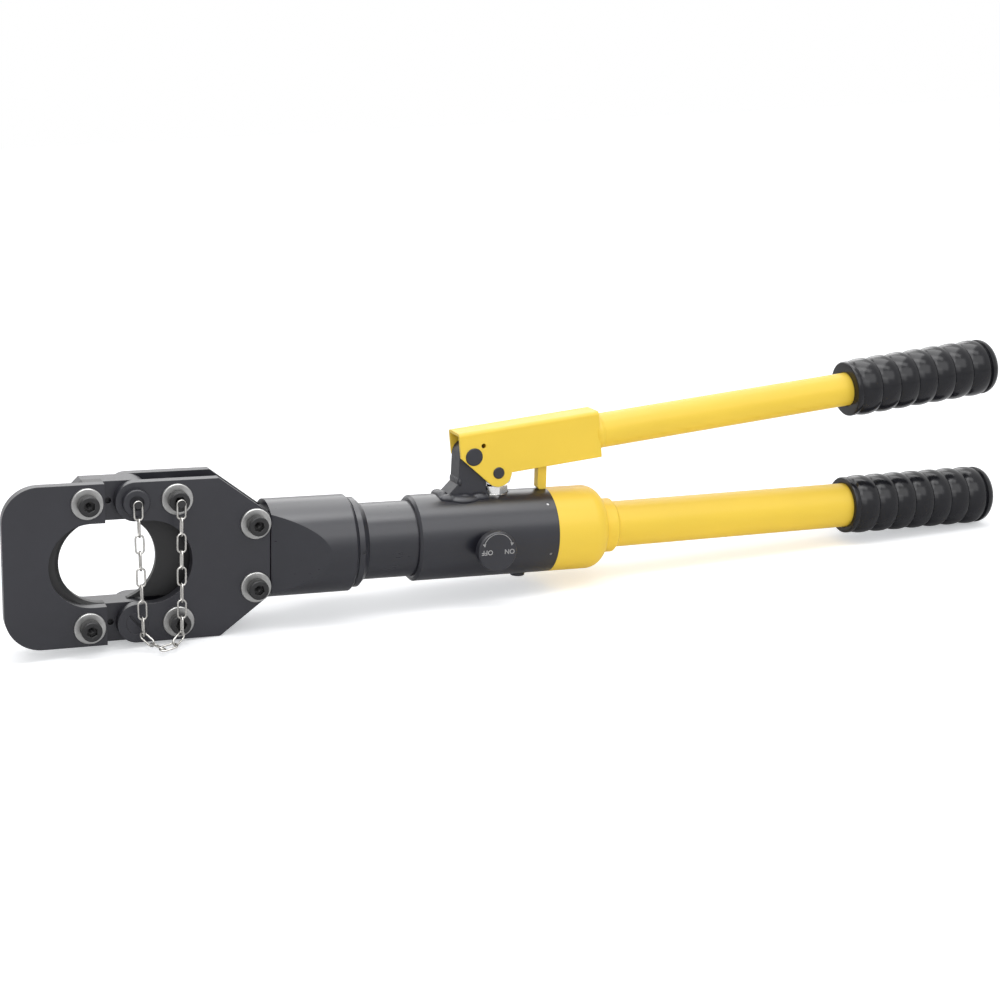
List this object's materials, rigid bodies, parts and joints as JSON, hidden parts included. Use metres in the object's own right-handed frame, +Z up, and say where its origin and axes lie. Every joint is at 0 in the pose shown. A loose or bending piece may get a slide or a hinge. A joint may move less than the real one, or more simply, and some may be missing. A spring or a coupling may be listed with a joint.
{
  "type": "hydraulic cable cutter",
  "caption": "Hand-pumped hydraulic cable cutter: latched steel cutting head on a ram cylinder and pump body, with a fixed lower handle, a hinged pump handle and a release knob.",
  "frame": {"origin": "on the head's lower edge, straight below the middle of the cutting opening and midway across the tool", "axes": "+X along the tool axis from the cutting head to the handles, +Z up from the head's lower edge, -Y towards the side with the release knob"},
  "size_m": [0.7247, 0.0764, 0.1752],
  "materials": {
    "head_steel": "satin black oxide finish on flame-cut and machined alloy steel",
    "blade_steel": "ground tool steel",
    "screw_black": "black oxide socket screws",
    "zinc": "bright zinc plated steel",
    "steel": "machined steel",
    "chrome": "hard chrome plated and ground",
    "yellow_paint": "glossy yellow enamel",
    "grip_rubber": "glossy black moulded vinyl",
    "seal_rubber": "nitrile rubber",
    "spring_steel": "oiled spring steel",
    "knob_black": "satin black finish with engraved marks",
    "body_black": "satin black finish on turned steel"
  },
  "bodies": {
    "head": {"side_plate_near": "head_steel", "side_plate_far": "head_steel", "jaw_cover_plate": "head_steel", "front_jaw": "head_steel", "fixed_blade": "blade_steel", "jaw_screws": "screw_black", "plate_screws": "screw_black", "plate_nuts": "zinc", "washers": "zinc", "spacer_tubes": "steel", "hinge_pin": "body_black", "hinge_pin_clip": "spring_steel", "latch_detent_ball": "steel", "chain_anchor_rivet": "zinc", "safety_chain": "zinc", "yoke": "body_black", "rod_seal": "seal_rubber", "locking_ring": "body_black", "grub_screw": "zinc", "cylinder_tube": "body_black", "barrel_seal": "seal_rubber", "return_spring": "spring_steel", "pump_body": "body_black", "body_set_screws": "zinc", "drain_plug": "screw_black", "reservoir_seal": "seal_rubber", "valve_balls": "steel", "suction_spring": "spring_steel", "delivery_spring": "spring_steel", "spindle_seal": "seal_rubber", "pivot_bracket": "body_black", "plunger_seal": "seal_rubber", "gland_nut": "zinc", "collar": "yellow_paint", "lower_tube": "yellow_paint", "oil_bladder": "seal_rubber", "reservoir_plug": "grip_rubber", "lower_grip": "grip_rubber"},
    "ram": {"moving_blade": "blade_steel", "blade_carrier": "steel", "blade_screws": "screw_black", "piston_rod": "chrome", "piston": "steel", "piston_seal": "seal_rubber", "piston_nut": "steel"},
    "pump_handle": {"handle_socket": "yellow_paint", "upper_tube": "yellow_paint", "stop_peg": "yellow_paint", "pivot_pin": "body_black", "link_pin": "body_black", "pin_clips": "spring_steel", "upper_grip": "grip_rubber", "upper_tube_plug": "grip_rubber"},
    "plunger": {"pump_plunger": "chrome"},
    "release_valve": {"release_knob": "knob_black", "release_spindle": "steel"},
    "latch": {"latch_pin": "body_black", "chain_latch_rivet": "zinc"}
  },
  "joints": [
    {"name": "blade_slide", "type": "slide", "parent": "head", "child": "ram", "axis": [-1, 0, 0], "range_m": [0, 0.0644], "stiffness_N_per_m": 400, "springref_m": -0.03, "deforming": ["return_spring"]},
    {"name": "handle_hinge", "type": "hinge", "parent": "head", "child": "pump_handle", "pos_m": [0.2374, 0, 0.1074], "axis": [0, -1, 0], "range_deg": [0, 60]},
    {"name": "plunger_slide", "type": "slide", "parent": "head", "child": "plunger", "axis": [0, 0, 1], "range_m": [0, 0.0216]},
    {"name": "release_turn", "type": "hinge", "parent": "head", "child": "release_valve", "pos_m": [0.244, 0, 0.0494], "axis": [0, -1, 0], "range_deg": [0, 90]},
    {"name": "latch_slide", "type": "slide", "parent": "head", "child": "latch", "axis": [0, -1, 0], "range_m": [0, 0.04], "deforming": ["safety_chain"]}
  ],
  "couplings": [
    {"joint": "plunger_slide", "follows": "handle_hinge", "m_per_rad": 0.02045}
  ]
}
